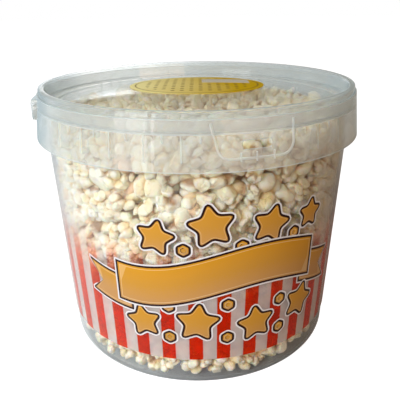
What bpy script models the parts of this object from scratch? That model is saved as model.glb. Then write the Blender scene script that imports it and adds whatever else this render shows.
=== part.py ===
"""A shut plastic popcorn pail: a tapered tub, the locking collar round its top, its snapped-on lid,
the printed film round the tub, a round sticker on the lid, and the popcorn inside.

Metres, +Z up, origin at the centre of the foot. Angles are measured from -Y, the front, towards +X.
"""

import math

import bmesh
import bpy
from mathutils import Vector, noise

MM = 0.001
SEGMENTS = 72
GAP = 0.3 * MM
BITE = 0.4 * MM

# Tub
HEIGHT = 194.3 * MM
WALL_TOP_R = 111.0 * MM
DRAFT = 0.0481
WALL = 1.2 * MM
FLOOR = 1.4 * MM
FOOT_LIFT = 1.6 * MM
FOOT_WIDTH = 6.5 * MM
CORNER_R = 9.4 * MM
CORNER_STEPS = 4

# Collar round the top of the tub, carried by a web
COLLAR_TOP = HEIGHT - 4.15 * MM
COLLAR_FOOT = HEIGHT - 34.0 * MM
COLLAR_TOP_R = 114.3 * MM
COLLAR_FOOT_R = 117.2 * MM
COLLAR_WALL = 1.0 * MM
WEB_TOP = HEIGHT - 11.8 * MM
WEB = 1.0 * MM
SEAT_R = 111.4 * MM
SEAT_WALL = 1.0 * MM
SEAT_TOP = HEIGHT - 2.0 * MM
SEAT_FOOT = HEIGHT - 7.3 * MM

# Ribs under the web
RIB_COUNT = 34
RIB_START = math.radians(-4.2)
RIB_THICK = 1.0 * MM
LONG_RIB_FOOT = HEIGHT - 28.6 * MM
SHORT_RIB_FOOT = HEIGHT - 17.6 * MM

# Tear-off tab in front, its twin outline behind, and the two lifting ears
TAB_MIDDLE = math.radians(17.0)
TAB_HALF = math.radians(11.5)
BACK_TAB_MIDDLE = math.radians(178.2)
BACK_TAB_HALF = math.radians(15.3)
TAB_LEAN = math.radians(1.7)
TAB_TOP = HEIGHT - 6.5 * MM
TAB_FOOT = HEIGHT - 26.4 * MM
TAB_CORNER = 7.5 * MM
TRIM_WIDTH = 1.4 * MM
TRIM_PROUD = 0.7 * MM
BRIDGES = [math.radians(a) for a in (12.2, 16.8, 22.1)]
BRIDGE_TOP = HEIGHT - 23.0 * MM
BRIDGE_FOOT = HEIGHT - 28.0 * MM
BRIDGE_WIDTH = 1.0 * MM
BRIDGE_PROUD = 1.0 * MM
WINDOW_MIDDLE = math.radians(17.2)
WINDOW_HALF = math.radians(4.4)
WINDOW_TOP = HEIGHT - 17.8 * MM
WINDOW_FOOT = HEIGHT - 21.4 * MM
EAR_MIDDLES = [math.radians(a) for a in (-84.0, 96.0)]
EAR_HALF = math.radians(8.0)
EAR_TOP = HEIGHT - 9.0 * MM
EAR_FOOT = HEIGHT - 23.0 * MM
EAR_PROUD = 3.6 * MM
EAR_WALL = 1.2 * MM
PAD_HALF = math.radians(36.0)

# Lid
LID_R = 113.0 * MM
LID_SKIRT = 1.2 * MM
LID_SKIRT_FOOT = HEIGHT - 11.1 * MM
LID_EDGE = 0.6 * MM
LID_TOP = 1.3 * MM
LID_PLUG_R = 109.0 * MM
LID_PLUG_WALL = 1.05 * MM
LID_PANEL_R = 105.4 * MM
LID_PANEL_TOP = HEIGHT - 13.5 * MM
LID_PANEL = 1.2 * MM
LID_CROWN = 5.3 * MM
CROWN_STEPS = 3

# Printed film and sticker
FILM_FOOT = 23.8 * MM
FILM_TOP = COLLAR_FOOT - 2.0 * MM
FILM = 0.25 * MM
STICKER_R = 54.0 * MM
STICKER_BACK = 38.0 * MM
STICKER = 0.2 * MM
STICKER_SEGMENTS = 36
STICKER_RINGS = 2

# Popcorn
HEAP_AROUND = 44
HEAP_UP = 11
HEAP_IN = 6
HEAP_LEVEL = 171.0 * MM
HEAP_TILT = 0.018
HEAP_MOST = 174.6 * MM
HEAP_SHOULDER = 9.0 * MM
HEAP_DENT = 4.0 * MM
HEAP_LUMP = 0.016


def wall_radius(z):
    """Outside of the tub's tapered wall."""
    return WALL_TOP_R - DRAFT * (HEIGHT - z)


def collar_radius(z):
    """Outside of the collar, which flares towards its foot."""
    drop = (COLLAR_TOP - z) / (COLLAR_TOP - COLLAR_FOOT)
    return COLLAR_TOP_R + (COLLAR_FOOT_R - COLLAR_TOP_R) * drop


def around(radius, angle, z):
    return Vector((radius * math.sin(angle), -radius * math.cos(angle), z))


def material(name, colour, roughness):
    made = bpy.data.materials.new(name)
    made.use_nodes = True
    shader = made.node_tree.nodes["Principled BSDF"]
    shader.inputs["Base Color"].default_value = colour
    shader.inputs["Alpha"].default_value = colour[3]
    shader.inputs["Roughness"].default_value = roughness
    shader.inputs["Metallic"].default_value = 0.0
    made.diffuse_color = colour
    return made


def object_from(name, bm, finish=None):
    bmesh.ops.recalc_face_normals(bm, faces=bm.faces)
    mesh = bpy.data.meshes.new(name)
    bm.to_mesh(mesh)
    bm.free()
    made = bpy.data.objects.new(name, mesh)
    bpy.context.scene.collection.objects.link(made)
    if finish:
        mesh.materials.append(finish)
        mesh.shade_smooth()
        mesh.set_sharp_from_angle(angle=math.radians(35))
    return made


def turned(profile, closed, segments=SEGMENTS):
    """A bmesh turned about Z from (radius, height) points. An open profile starts and ends on the axis."""
    bm = bmesh.new()
    points = [bm.verts.new((0.0, -radius, z)) for radius, z in profile]
    pairs = list(zip(points, points[1:]))
    if closed:
        pairs.append((points[-1], points[0]))
    edges = [bm.edges.new(pair) for pair in pairs]
    bmesh.ops.spin(
        bm, geom=points + edges, cent=(0, 0, 0), axis=(0, 0, 1), steps=segments, angle=math.tau
    )
    bmesh.ops.remove_doubles(bm, verts=bm.verts, dist=0.01 * MM)
    return bm


def arc(centre, radius, start, end, steps):
    """(radius, height) points of an arc in the profile plane, angles in radians from outwards."""
    turns = [start + (end - start) * n / steps for n in range(steps + 1)]
    return [(centre[0] + radius * math.cos(t), centre[1] + radius * math.sin(t)) for t in turns]


def add_block(bm, corners):
    """A closed block from eight corners, the lower four in order, then the upper four."""
    v = [bm.verts.new(corner) for corner in corners]
    for face in ((3, 2, 1, 0), (4, 5, 6, 7), (0, 1, 5, 4), (1, 2, 6, 5), (2, 3, 7, 6), (3, 0, 4, 7)):
        bm.faces.new([v[n] for n in face])


def add_slab(bm, outline, inner, outer):
    """A closed slab that follows the collar, from an outline of (angle, height) points.
    inner and outer give its two radii at a height."""
    low = [bm.verts.new(around(inner(z), angle, z)) for angle, z in outline]
    high = [bm.verts.new(around(outer(z), angle, z)) for angle, z in outline]
    bm.faces.new(low)
    bm.faces.new(high[::-1])
    for n in range(len(outline)):
        m = (n + 1) % len(outline)
        bm.faces.new((low[n], low[m], high[m], high[n]))
    bmesh.ops.triangulate(bm, faces=bm.faces)


def rounded_outline(middle, half, top, foot, corner, radius, columns=4):
    """A rounded rectangle on the collar as (angle, height) points, with steps along its long sides."""
    turn = corner / radius
    outline = []
    for side_angle, z, start in (
        (middle + half - turn, foot + corner, -90),
        (middle + half - turn, top - corner, 0),
        (middle - half + turn, top - corner, 90),
        (middle - half + turn, foot + corner, 180),
    ):
        for step in range(4):
            t = math.radians(start + 30 * step)
            outline.append((side_angle + turn * math.cos(t), z + corner * math.sin(t)))
    filled = []
    for n, (angle, z) in enumerate(outline):
        filled.append((angle, z))
        after, z_after = outline[(n + 1) % len(outline)]
        if abs(after - angle) > half:
            for step in range(1, columns):
                filled.append((angle + (after - angle) * step / columns, z))
    return filled


def add_ribbon(bm, path, width, proud):
    """A raised line on the collar, square in section, along (angle, height) points."""
    rows = []
    for n, (angle, z) in enumerate(path):
        before, after = path[max(n - 1, 0)], path[min(n + 1, len(path) - 1)]
        radius = collar_radius(z)
        along = Vector(((after[0] - before[0]) * radius, after[1] - before[1])).normalized()
        side = Vector((-along.y, along.x)) * width / 2
        row = []
        for sign, height in ((-1, -BITE), (1, -BITE), (1, proud), (-1, proud)):
            z_edge = z + sign * side.y
            row.append(around(collar_radius(z_edge) + height, angle + sign * side.x / radius, z_edge))
        rows.append([bm.verts.new(point) for point in row])
    for first, second in zip(rows, rows[1:]):
        for n in range(4):
            m = (n + 1) % 4
            bm.faces.new((first[n], first[m], second[m], second[n]))
    bm.faces.new(rows[0][::-1])
    bm.faces.new(rows[-1])


def combine(target, helper, operation):
    """Adds a Boolean to target. The helper mesh stays in the file, out of the render."""
    helper.hide_render = True
    helper.display_type = "WIRE"
    cut = target.modifiers.new(helper.name, "BOOLEAN")
    cut.operation = operation
    cut.solver = "EXACT"
    cut.object = helper


def tab_path(middle, half, lean=0.0):
    """The U-shaped outline of a tab: down one side, which leans out, round two corners and up the other."""
    radius = collar_radius(TAB_FOOT)
    turn = TAB_CORNER / radius
    path = [(middle - half - lean, TAB_TOP), (middle - half, TAB_FOOT + TAB_CORNER)]
    for step in range(1, 5):
        t = math.radians(180 + 22.5 * step)
        path.append((middle - half + turn + turn * math.cos(t), TAB_FOOT + TAB_CORNER * (1 + math.sin(t))))
    across = 5
    for step in range(1, across):
        path.append((middle - half + turn + (2 * half - 2 * turn) * step / across, TAB_FOOT))
    mirrored = [(2 * middle - angle, z) for angle, z in reversed(path[1:6])]
    return path + mirrored + [(middle + half, TAB_TOP)]


def foot_corner():
    """The wall's lean from upright, and the radius where the foot turns up into it."""
    lean = math.atan(DRAFT)
    z = CORNER_R * (1 - math.sin(lean))
    return lean, wall_radius(z) - CORNER_R * math.cos(lean)


def tub_profile():
    lean, corner_r = foot_corner()
    foot_inner = corner_r - FOOT_WIDTH
    profile = [(0, FOOT_LIFT), (foot_inner - FOOT_LIFT, FOOT_LIFT), (foot_inner, 0)]
    profile += arc((corner_r, CORNER_R), CORNER_R, -math.pi / 2, -lean, CORNER_STEPS)
    profile += [
        (wall_radius(WEB_TOP), WEB_TOP),
        (SEAT_R, SEAT_FOOT),
        (SEAT_R, SEAT_TOP),
        (SEAT_R - SEAT_WALL, SEAT_TOP),
        (SEAT_R - SEAT_WALL, SEAT_FOOT),
        (wall_radius(WEB_TOP) - WALL, WEB_TOP),
    ]
    floor_top = FOOT_LIFT + FLOOR
    inner = CORNER_R - WALL
    profile += arc((corner_r, floor_top + inner), inner, -lean, -math.pi / 2, CORNER_STEPS)
    profile.append((0, floor_top))
    return profile


def collar_profile():
    """The collar and the web that carries it, up to a thin gap round the wall."""
    web_foot = WEB_TOP - WEB
    return [
        (wall_radius(WEB_TOP) + GAP, web_foot),
        (collar_radius(web_foot) - COLLAR_WALL, web_foot),
        (COLLAR_FOOT_R - COLLAR_WALL, COLLAR_FOOT),
        (COLLAR_FOOT_R, COLLAR_FOOT),
        (COLLAR_TOP_R, COLLAR_TOP),
        (COLLAR_TOP_R - COLLAR_WALL, COLLAR_TOP),
        (collar_radius(WEB_TOP) - COLLAR_WALL, WEB_TOP),
        (wall_radius(WEB_TOP) + GAP, WEB_TOP),
    ]


def panel_top(radius):
    """Top of the lid's panel, which is crowned."""
    return LID_PANEL_TOP + LID_CROWN * (1 - (radius / LID_PANEL_R) ** 2)


def lid_profile():
    panel_foot = LID_PANEL_TOP - LID_PANEL
    ceiling = HEIGHT - LID_TOP
    crown = [(LID_PANEL_R * n / CROWN_STEPS, panel_top(LID_PANEL_R * n / CROWN_STEPS)) for n in range(CROWN_STEPS)]
    return [
        *[(radius, z - LID_PANEL) for radius, z in crown],
        (LID_PANEL_R + LID_PLUG_WALL, panel_foot),
        (LID_PLUG_R + LID_PLUG_WALL, ceiling),
        (LID_R - LID_SKIRT, ceiling),
        (LID_R - LID_SKIRT, LID_SKIRT_FOOT),
        (LID_R, LID_SKIRT_FOOT),
        (LID_R, HEIGHT - LID_EDGE),
        (LID_R - LID_EDGE, HEIGHT),
        (LID_PLUG_R + LID_EDGE, HEIGHT),
        (LID_PLUG_R, HEIGHT - LID_EDGE),
        (LID_PANEL_R + LID_EDGE, LID_PANEL_TOP + LID_EDGE),
        (LID_PANEL_R, LID_PANEL_TOP),
        *crown[::-1],
    ]


def apart(first, second):
    """Angle between two directions, from 0 to half a turn."""
    return abs((first - second + math.pi) % math.tau - math.pi)


def free_for_ribs(angle):
    clear = [(TAB_MIDDLE, TAB_HALF), (BACK_TAB_MIDDLE, BACK_TAB_HALF)]
    clear += [(middle, EAR_HALF) for middle in EAR_MIDDLES]
    clear += [(side * math.pi / 2, PAD_HALF) for side in (-1, 1)]
    margin = math.radians(2.0)
    return all(apart(angle, middle) > half + margin for middle, half in clear)


def ribs():
    """Gussets between the wall and the collar, a long one and a short one in turn."""
    bm = bmesh.new()
    top = WEB_TOP - WEB / 2
    for count in range(2 * RIB_COUNT):
        angle = RIB_START + count * math.pi / RIB_COUNT
        if not free_for_ribs(angle):
            continue
        foot = SHORT_RIB_FOOT if count % 2 else LONG_RIB_FOOT
        corners = []
        for z in (foot, top):
            near = wall_radius(z) + GAP
            far = collar_radius(z) - COLLAR_WALL + BITE
            half_near, half_far = RIB_THICK / 2 / near, RIB_THICK / 2 / far
            corners += [
                around(near, angle - half_near, z),
                around(far, angle - half_far, z),
                around(far, angle + half_far, z),
                around(near, angle + half_near, z),
            ]
        add_block(bm, corners)
    return object_from("collar_ribs", bm)


def tab_outlines():
    bm = bmesh.new()
    add_ribbon(bm, tab_path(TAB_MIDDLE, TAB_HALF, TAB_LEAN), TRIM_WIDTH, TRIM_PROUD)
    add_ribbon(bm, tab_path(BACK_TAB_MIDDLE, BACK_TAB_HALF), TRIM_WIDTH, TRIM_PROUD)
    return object_from("collar_tab_outlines", bm)


def tab_bridges():
    """Short raised bars over the foot of the front tab, and one down the middle of the back one."""
    bm = bmesh.new()
    for angle in BRIDGES:
        add_ribbon(bm, [(angle, BRIDGE_TOP), (angle, BRIDGE_FOOT)], BRIDGE_WIDTH, BRIDGE_PROUD)
    middle_bar = [(BACK_TAB_MIDDLE, TAB_TOP), (BACK_TAB_MIDDLE, TAB_FOOT)]
    add_ribbon(bm, middle_bar, BRIDGE_WIDTH, TRIM_PROUD)
    return object_from("collar_tab_bridges", bm)


def ear_bosses():
    bm = bmesh.new()
    for middle in EAR_MIDDLES:
        outline = rounded_outline(middle, EAR_HALF, EAR_TOP, EAR_FOOT, 4 * MM, COLLAR_FOOT_R)
        add_slab(bm, outline, lambda z: collar_radius(z) - BITE, lambda z: COLLAR_FOOT_R + EAR_PROUD / 2)
    return object_from("collar_ears", bm)


def ear_pockets():
    """The hollow behind each ear, below the web and open to the gap between the wall and the collar."""
    bm = bmesh.new()
    inset = EAR_WALL / COLLAR_FOOT_R
    top = WEB_TOP - WEB - BITE
    near = collar_radius(top) - COLLAR_WALL - BITE
    far = COLLAR_FOOT_R + EAR_PROUD / 2 - EAR_WALL
    for middle in EAR_MIDDLES:
        outline = rounded_outline(
            middle, EAR_HALF - inset, top, EAR_FOOT + EAR_WALL, 2.8 * MM, COLLAR_FOOT_R
        )
        add_slab(bm, outline, lambda z: near, lambda z: far)
    return object_from("collar_ear_pockets", bm)


def tab_cuts():
    """The finger window through the collar, and the slot through the web behind the tab."""
    bm = bmesh.new()
    window = rounded_outline(WINDOW_MIDDLE, WINDOW_HALF, WINDOW_TOP, WINDOW_FOOT, 1.2 * MM, COLLAR_FOOT_R)
    add_slab(bm, window, lambda z: collar_radius(z) - 2 * COLLAR_WALL, lambda z: collar_radius(z) + 2 * MM)
    span = TAB_HALF - math.radians(1.5)
    steps = 6
    edge = [TAB_MIDDLE - span + 2 * span * n / steps for n in range(steps + 1)]
    slot = [(angle, WEB_TOP + BITE) for angle in edge] + [(angle, WEB_TOP - 2 * WEB) for angle in edge[::-1]]
    near = wall_radius(WEB_TOP) + 0.8 * MM
    far = collar_radius(WEB_TOP) - COLLAR_WALL - 0.5 * MM
    add_slab(bm, slot, lambda z: near, lambda z: far)
    return object_from("collar_tab_cuts", bm)


def make_tub():
    clear_plastic = material("tub_plastic", (0.80, 0.82, 0.80, 0.35), 0.22)
    object_from("tub", turned(tub_profile(), closed=False), clear_plastic)


def make_collar():
    clear_plastic = material("collar_plastic", (0.80, 0.82, 0.80, 0.35), 0.22)
    collar = object_from("collar", turned(collar_profile(), closed=True), clear_plastic)
    combine(collar, ribs(), "UNION")
    combine(collar, tab_outlines(), "UNION")
    combine(collar, tab_bridges(), "UNION")
    combine(collar, ear_bosses(), "UNION")
    combine(collar, ear_pockets(), "DIFFERENCE")
    combine(collar, tab_cuts(), "DIFFERENCE")


def make_lid():
    clear_plastic = material("lid_plastic", (0.82, 0.84, 0.82, 0.30), 0.18)
    object_from("lid", turned(lid_profile(), closed=False), clear_plastic)


def make_film():
    printed = material("printed_film", (0.80, 0.20, 0.12, 1.0), 0.30)
    near = [(wall_radius(z) + GAP, z) for z in (FILM_TOP, FILM_FOOT)]
    far = [(wall_radius(z) + GAP + FILM, z) for z in (FILM_FOOT, FILM_TOP)]
    object_from("film", turned(near + far, closed=True), printed)


def make_sticker():
    """A thin disc that follows the crown of the lid's panel."""
    paper = material("sticker_paper", (0.90, 0.70, 0.10, 1.0), 0.40)
    radii = [STICKER_R * n / STICKER_RINGS for n in range(STICKER_RINGS + 1)]
    profile = [(radius, 0) for radius in radii] + [(radius, STICKER) for radius in radii[::-1]]
    bm = turned(profile, closed=False, segments=STICKER_SEGMENTS)
    for v in bm.verts:
        v.co.y += STICKER_BACK
        v.co.z += panel_top(math.hypot(v.co.x, v.co.y)) + GAP
    object_from("lid_sticker", bm, paper)


def heap_profile():
    """(radius, height, share of the lumps) points up the side of the heap and in over its top."""
    floor = FOOT_LIFT + FLOOR + GAP
    _, corner_r = foot_corner()
    round_r = CORNER_R - WALL
    side_foot = floor + round_r
    side_top = HEAP_LEVEL - HEAP_SHOULDER
    points = [(corner_r * share, floor, 0.0) for share in (0.35, 0.7)]
    points += [(r, z, 0.4) for r, z in arc((corner_r, side_foot), round_r, -math.pi / 2, -math.pi / 6, 2)]
    for step in range(1, HEAP_UP + 1):
        z = side_foot + (side_top - side_foot) * step / HEAP_UP
        points.append((wall_radius(z) - WALL - GAP, z, 1.0))
    shoulder_r = wall_radius(side_top) - WALL - GAP - HEAP_SHOULDER
    points += [(r, z, 1.0) for r, z in arc((shoulder_r, side_top), HEAP_SHOULDER, math.pi / 4, math.pi / 2, 1)]
    points += [(shoulder_r * (1 - step / HEAP_IN), HEAP_LEVEL, 1.0) for step in range(1, HEAP_IN)]
    return points


def heap_point(radius, z, share, angle):
    """A point of the heap, dented inwards between the flakes; its top is uneven and tilts up to the right."""
    place = around(radius, angle, z)
    dent = 0.5 + 0.5 * noise.noise(place / HEAP_LUMP)
    place = around(radius - HEAP_DENT * share * dent, angle, z)
    if z > HEAP_LEVEL - HEAP_SHOULDER + MM:
        rise = HEAP_TILT * place.x + HEAP_DENT * 0.8 * noise.noise(place / HEAP_LUMP + Vector((7, 3, 0)))
        place.z = min(place.z + rise, HEAP_MOST)
    return place


def make_popcorn():
    """The heap as one lumpy solid that fills the tub nearly to the lid."""
    corn = material("popcorn", (0.90, 0.86, 0.70, 1.0), 0.80)
    bm = bmesh.new()
    floor = FOOT_LIFT + FLOOR + GAP
    rows = []
    for radius, z, share in heap_profile():
        turns = [math.tau * n / HEAP_AROUND for n in range(HEAP_AROUND)]
        rows.append([bm.verts.new(heap_point(radius, z, share, angle)) for angle in turns])
    for low, high in zip(rows, rows[1:]):
        for n in range(HEAP_AROUND):
            m = (n + 1) % HEAP_AROUND
            bm.faces.new((low[n], low[m], high[m], high[n]))
    for row, z in ((rows[0], floor), (rows[-1], HEAP_LEVEL)):
        tip = bm.verts.new((0, 0, z))
        for n in range(HEAP_AROUND):
            bm.faces.new((row[n], row[(n + 1) % HEAP_AROUND], tip))
    bmesh.ops.triangulate(bm, faces=bm.faces)
    object_from("popcorn", bm, corn)


for old in list(bpy.data.objects):
    bpy.data.objects.remove(old, do_unlink=True)

make_tub()
make_collar()
make_lid()
make_film()
make_sticker()
make_popcorn()
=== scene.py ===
"""A shut clear pail of popcorn: the tub and its locking collar, the popcorn, the printed film round
the tub, the lid and its sticker, then the studio round them. Metres, +Z up, angles from -Y towards +X.
"""

import math

import bmesh
import bpy
import numpy as np
from mathutils import Matrix, Vector, noise


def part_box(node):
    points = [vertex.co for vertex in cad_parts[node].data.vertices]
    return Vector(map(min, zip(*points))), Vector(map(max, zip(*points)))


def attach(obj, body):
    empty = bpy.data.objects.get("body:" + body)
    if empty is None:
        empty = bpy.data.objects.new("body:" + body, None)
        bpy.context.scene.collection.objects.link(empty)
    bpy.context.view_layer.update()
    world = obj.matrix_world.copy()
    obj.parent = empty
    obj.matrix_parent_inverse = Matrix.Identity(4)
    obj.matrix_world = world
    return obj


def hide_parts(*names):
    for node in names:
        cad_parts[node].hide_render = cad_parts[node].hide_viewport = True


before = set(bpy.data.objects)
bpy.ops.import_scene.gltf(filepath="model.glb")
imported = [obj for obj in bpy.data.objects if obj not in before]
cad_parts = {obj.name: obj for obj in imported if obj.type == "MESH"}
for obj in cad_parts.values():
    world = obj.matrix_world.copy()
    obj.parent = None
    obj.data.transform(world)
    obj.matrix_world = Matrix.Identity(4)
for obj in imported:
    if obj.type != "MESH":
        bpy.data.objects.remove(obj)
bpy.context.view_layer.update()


# --- Tub -----------------------------------------------------------------------------------------
# Injection-moulded from clear, slightly milky polypropylene: a lightly tapered wall that turns
# through a round corner into a foot ring, with the floor lifted inside it. Its top is rolled over
# the stacking seat that the lid closes on.

MM = 0.001
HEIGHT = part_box("lid")[1].z
SEGMENTS = 288
SHARP = math.radians(32)
WALL = 1.2 * MM
WALL_TOP_R = 111.0 * MM
DRAFT = 0.0481
CORNER_R = 9.4 * MM
FLOOR = 1.4 * MM
FOOT_LIFT = 1.6 * MM
FOOT_WIDTH = 6.5 * MM
WEB_TOP = HEIGHT - 11.8 * MM
SEAT_R = 111.4 * MM
SEAT_WALL = 1.0 * MM


class Wire:
    """One socket of a finish's nodes. Sums written on wires become Math nodes."""

    def __init__(self, tree, socket=None):
        self.tree = tree
        self.socket = socket

    def node(self, kind, settings=None, inputs=None, out=0):
        made = self.tree.nodes.new("ShaderNode" + kind)
        for key, value in (settings or {}).items():
            if key == "stops":
                while len(made.color_ramp.elements) < len(value):
                    made.color_ramp.elements.new(0.5)
                for element, (place, colour) in zip(made.color_ramp.elements, value):
                    element.position = place
                    element.color = (*colour, 1)
            else:
                setattr(made, key, value)
        for key, value in (inputs or {}).items():
            if isinstance(value, Wire):
                self.tree.links.new(value.socket, made.inputs[key])
            else:
                made.inputs[key].default_value = value
        return Wire(self.tree, made.outputs[out] if len(made.outputs) else None)

    def math(self, operation, *values):
        return self.node("Math", {"operation": operation}, dict(enumerate(values)))

    def held(self):
        return self.node("Clamp", {}, {0: self})

    def eased(self, low, high):
        """0 below low, 1 above high, smooth between; the other way round if low is above high."""
        settings = {"interpolation_type": "SMOOTHSTEP"}
        return self.node("MapRange", settings, {0: self, 1: low, 2: high})

    def along(self, axis):
        """One axis of a place or a direction."""
        return self.node("SeparateXYZ", {}, {0: self}, out=axis)

    def grain(self, scale, detail, roughness=0.5, out=0):
        """Noise over a place, from 0 to 1, with scale lumps to the metre."""
        inputs = {"Vector": self, "Scale": scale, "Detail": detail, "Roughness": roughness}
        return self.node("TexNoise", {}, inputs, out=out)

    def ramp(self, stops):
        return self.node("ValToRGB", {"stops": stops}, {0: self})

    def bump(self, strength, distance, invert=False):
        inputs = {"Height": self, "Strength": strength, "Distance": distance}
        return self.node("Bump", {"invert": invert}, inputs)

    def __add__(self, other):
        return self.math("ADD", self, other)

    def __radd__(self, other):
        return self.math("ADD", other, self)

    def __sub__(self, other):
        return self.math("SUBTRACT", self, other)

    def __rsub__(self, other):
        return self.math("SUBTRACT", other, self)

    def __mul__(self, other):
        return self.math("MULTIPLY", self, other)

    def __rmul__(self, other):
        return self.math("MULTIPLY", other, self)

    def __truediv__(self, other):
        return self.math("DIVIDE", self, other)

    def __pow__(self, other):
        return self.math("POWER", self, other)


def new_finish(name):
    """An empty finish, the start of its wires, and the place on the piece."""
    made = bpy.data.materials.new(name)
    made.use_nodes = True
    made.node_tree.nodes.clear()
    start = Wire(made.node_tree)
    return made, start, start.node("TexCoord", out="Object")


def surfaced(made, surface):
    """The finish with its last shader joined to its output."""
    surface.node("OutputMaterial", {}, {"Surface": surface})
    return made


def mixed(start, share, first, second):
    """A blend of two shaders: share 0 is all first, and 1 all second."""
    return start.node("MixShader", {}, {0: share, 1: first, 2: second})


def blended(start, share, first, second):
    """A blend of two colours."""
    inputs = {0: share, 6: first, 7: second}
    return start.node("Mix", {"data_type": "RGBA"}, inputs, out=2)


def glowing(start, colour, share, **shading):
    """Matt colour that sends a share of the light on through."""
    paint = start.node("BsdfDiffuse", {}, {"Color": colour, **shading})
    glow = start.node("BsdfTranslucent", {}, {"Color": colour, **shading})
    return mixed(start, share, paint, glow)


def mirror(start, roughness, bump):
    return start.node("BsdfGlossy", {}, {"Color": (1, 1, 1, 1), "Roughness": roughness, "Normal": bump})


# Painted shade: the darker, bluer haze where clear plastic turns away from view.
GRAZING_SHADE_TINT = (0.56, 0.67, 0.72, 1)


def clear_plastic(name, haze, edge_haze, gloss_roughness, colour=(0.80, 0.86, 0.88, 1)):
    """Clear polypropylene: what is behind shows through a thin milky haze, which thickens where the
    surface turns away and on edges that face up or down. Where it turns away the haze also goes darker
    and bluer, a painted shade at the silhouettes. The gloss grows as the surface turns away."""
    made, start, place = new_finish(name)
    flow = place.grain(55.0, 3.0)
    level = start.node("NewGeometry", out="Normal").along("Z")
    edge = start.math("ABSOLUTE", level).eased(0.5, 1.0)
    away = start.node("LayerWeight", {}, {"Blend": 0.5}, out="Facing")
    cloud = (haze * (0.75 + 0.5 * flow) + edge_haze * edge) * (1 + 0.7 * away**3)
    bump = place.grain(120.0, 2.0).bump(0.10, 0.0006)
    clear = start.node("BsdfTransparent", {}, {"Color": (0.985, 0.99, 0.99, 1)})
    facing, grazing_shade = (glowing(start, tint, 0.5, Normal=bump) for tint in (colour, GRAZING_SHADE_TINT))
    milky = mixed(start, (1.3 * away**2).held(), facing, grazing_shade)
    body = mixed(start, cloud.held(), clear, milky)
    gloss = (0.04 + 0.9 * away**5).held()
    return surfaced(made, mixed(start, gloss, body, mirror(start, gloss_roughness, bump)))


def softened(corners, steps=4):
    """(radius, height) points from (radius, height, rounding) corners, each rounded by a small arc."""
    points = []
    count = len(corners)
    for n, (r, z, size) in enumerate(corners):
        here = Vector((r, z))
        before = Vector(corners[n - 1][:2]) - here
        after = Vector(corners[(n + 1) % count][:2]) - here
        if size <= 0:
            points.append((r, z))
            continue
        reach = min(size, before.length * 0.45, after.length * 0.45)
        start, end = here + before.normalized() * reach, here + after.normalized() * reach
        for step in range(steps + 1):
            t = step / steps
            spot = start * (1 - t) ** 2 + here * 2 * t * (1 - t) + end * t**2
            points.append((spot.x, spot.y))
    return points


def round_axis(radius, angle):
    """How far right and back a spot is, at an angle round the axis."""
    return radius * math.sin(angle), -radius * math.cos(angle)


def stitch(bm, rows, closed=True):
    """Faces from each row of points to the next, leaving out any that shrink to a line."""
    for low, high in zip(rows, rows[1:]):
        for n in range(len(low) - 1 + closed):
            m = (n + 1) % len(low)
            corners = [low[n], low[m], high[m], high[n]]
            face = [v for k, v in enumerate(corners) if v not in corners[:k]]
            if len(face) > 2:
                bm.faces.new(face)


def turned(profile, segments=SEGMENTS):
    """A closed bmesh turned about Z from a ring of (radius, height) points; radius 0 is on the axis."""
    bm = bmesh.new()
    rows = []
    for r, z in profile:
        if r < 1e-6:
            rows.append([bm.verts.new((0, 0, z))] * segments)
        else:
            turns = [math.tau * n / segments for n in range(segments)]
            rows.append([bm.verts.new((*round_axis(r, t), z)) for t in turns])
    stitch(bm, rows + rows[:1])
    bmesh.ops.recalc_face_normals(bm, faces=bm.faces)
    return bm


def set_down(name, data):
    """An object in the scene from its mesh, lamp or camera data."""
    made = bpy.data.objects.new(name, data)
    bpy.context.scene.collection.objects.link(made)
    return made


def piece_from(name, bm, *finishes, sharp=SHARP):
    mesh = bpy.data.meshes.new(name)
    bm.to_mesh(mesh)
    bm.free()
    for finish in finishes:
        mesh.materials.append(finish)
    mesh.shade_smooth()
    mesh.set_sharp_from_angle(angle=sharp)
    return set_down(name, mesh)


def fit(piece, slot, *nodes):
    """Makes a piece part of the pail: it stands for the CAD nodes, which it hides, and rides on the root
    body. The slot is not used.
    """
    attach(piece, "root")
    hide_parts(*nodes)


def wall_radius(z):
    """Outside of the tapered wall."""
    return WALL_TOP_R - DRAFT * (HEIGHT - z)


def arc(centre, radius, start, end, steps):
    turns = [start + (end - start) * n / steps for n in range(steps + 1)]
    return [(centre[0] + radius * math.cos(t), centre[1] + radius * math.sin(t)) for t in turns]


LEAN = math.atan(DRAFT)
CORNER_CENTRE = wall_radius(CORNER_R * (1 - math.sin(LEAN))) - CORNER_R * math.cos(LEAN)
FLOOR_TOP = FOOT_LIFT + FLOOR


def tub_profile():
    """Out under the floor, round the corner, up the wall, over the rim, and back down inside."""
    ring = CORNER_CENTRE - FOOT_WIDTH
    seat_foot = HEIGHT - 7.3 * MM
    seat_top = HEIGHT - 2.0 * MM
    under = [(0, FOOT_LIFT, 0), (ring - 2.4 * MM, FOOT_LIFT, 1.2 * MM), (ring, 0, 1.0 * MM)]
    outside = [(r, z, 0) for r, z in arc((CORNER_CENTRE, CORNER_R), CORNER_R, -math.pi / 2, -LEAN, 10)]
    rim = [
        (wall_radius(WEB_TOP), WEB_TOP, 2 * MM),
        (SEAT_R, seat_foot, 2 * MM),
        (SEAT_R, seat_top, 0.45 * MM),
        (SEAT_R - SEAT_WALL, seat_top, 0.45 * MM),
        (SEAT_R - SEAT_WALL, seat_foot, 2 * MM),
        (wall_radius(WEB_TOP) - WALL, WEB_TOP, 2 * MM),
    ]
    inner = CORNER_R - WALL
    centre = (CORNER_CENTRE, FLOOR_TOP + inner)
    inside = [(r, z, 0) for r, z in arc(centre, inner, -LEAN, -math.pi / 2, 10)]
    return softened(under + outside + rim + inside + [(0, FLOOR_TOP, 0)])


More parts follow.
